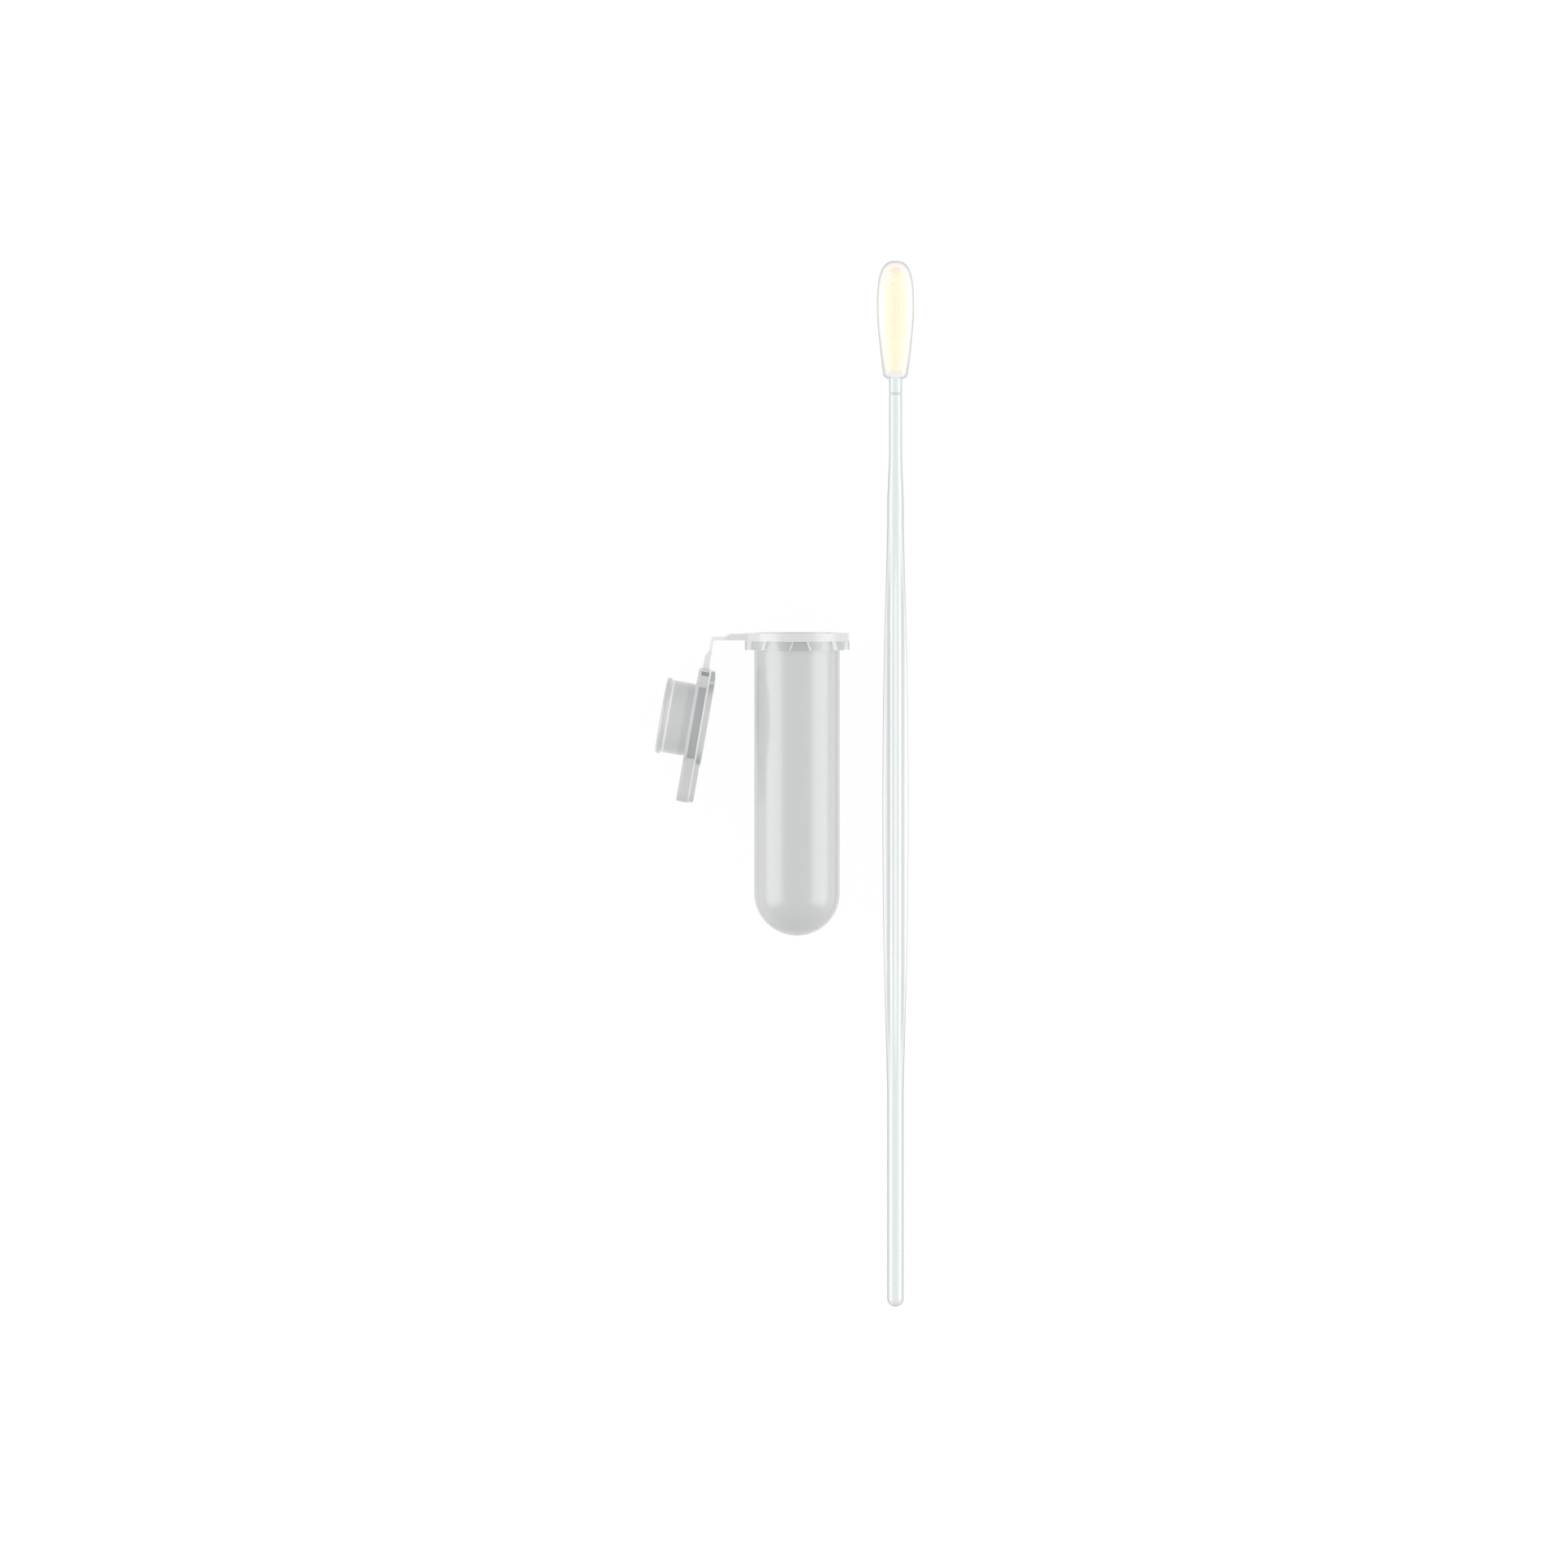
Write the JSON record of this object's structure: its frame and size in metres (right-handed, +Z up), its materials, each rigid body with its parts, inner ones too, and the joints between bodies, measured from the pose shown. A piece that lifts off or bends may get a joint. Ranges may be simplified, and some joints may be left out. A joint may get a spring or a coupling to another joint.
{
  "type": "specimen swab tube",
  "caption": "Round-bottom specimen tube with a ribbed collar and a hinged push-in cap, lying beside its collection swab with a fibre tip and a finned grip.",
  "frame": {"origin": "under the middle of the set as it lies, on the surface", "axes": "+Y along the swab toward its fibre tip and out of the tube's mouth, +Z up from the surface, +X from the tube toward the swab"},
  "size_m": [0.0328, 0.1322, 0.0132],
  "materials": {
    "tube": "natural translucent polypropylene",
    "hinge_web": "natural translucent polypropylene, thin",
    "cap": "natural translucent polypropylene",
    "swab_shaft": "white polystyrene",
    "swab_bud": "wound cotton fibre"
  },
  "bodies": {
    "tube": {"tube": "tube", "hinge_web": "hinge_web", "swab_shaft": "swab_shaft", "swab_bud": "swab_bud"},
    "cap": {"cap": "cap"}
  },
  "joints": [
    {"name": "cap_hinge", "type": "hinge", "parent": "tube", "child": "cap", "pos_m": [-0.00979, 0.0192, 0.00664], "axis": [0, -0.0376, 0.9993], "range_deg": [-260, 10], "deforming": ["hinge_web"]}
  ]
}
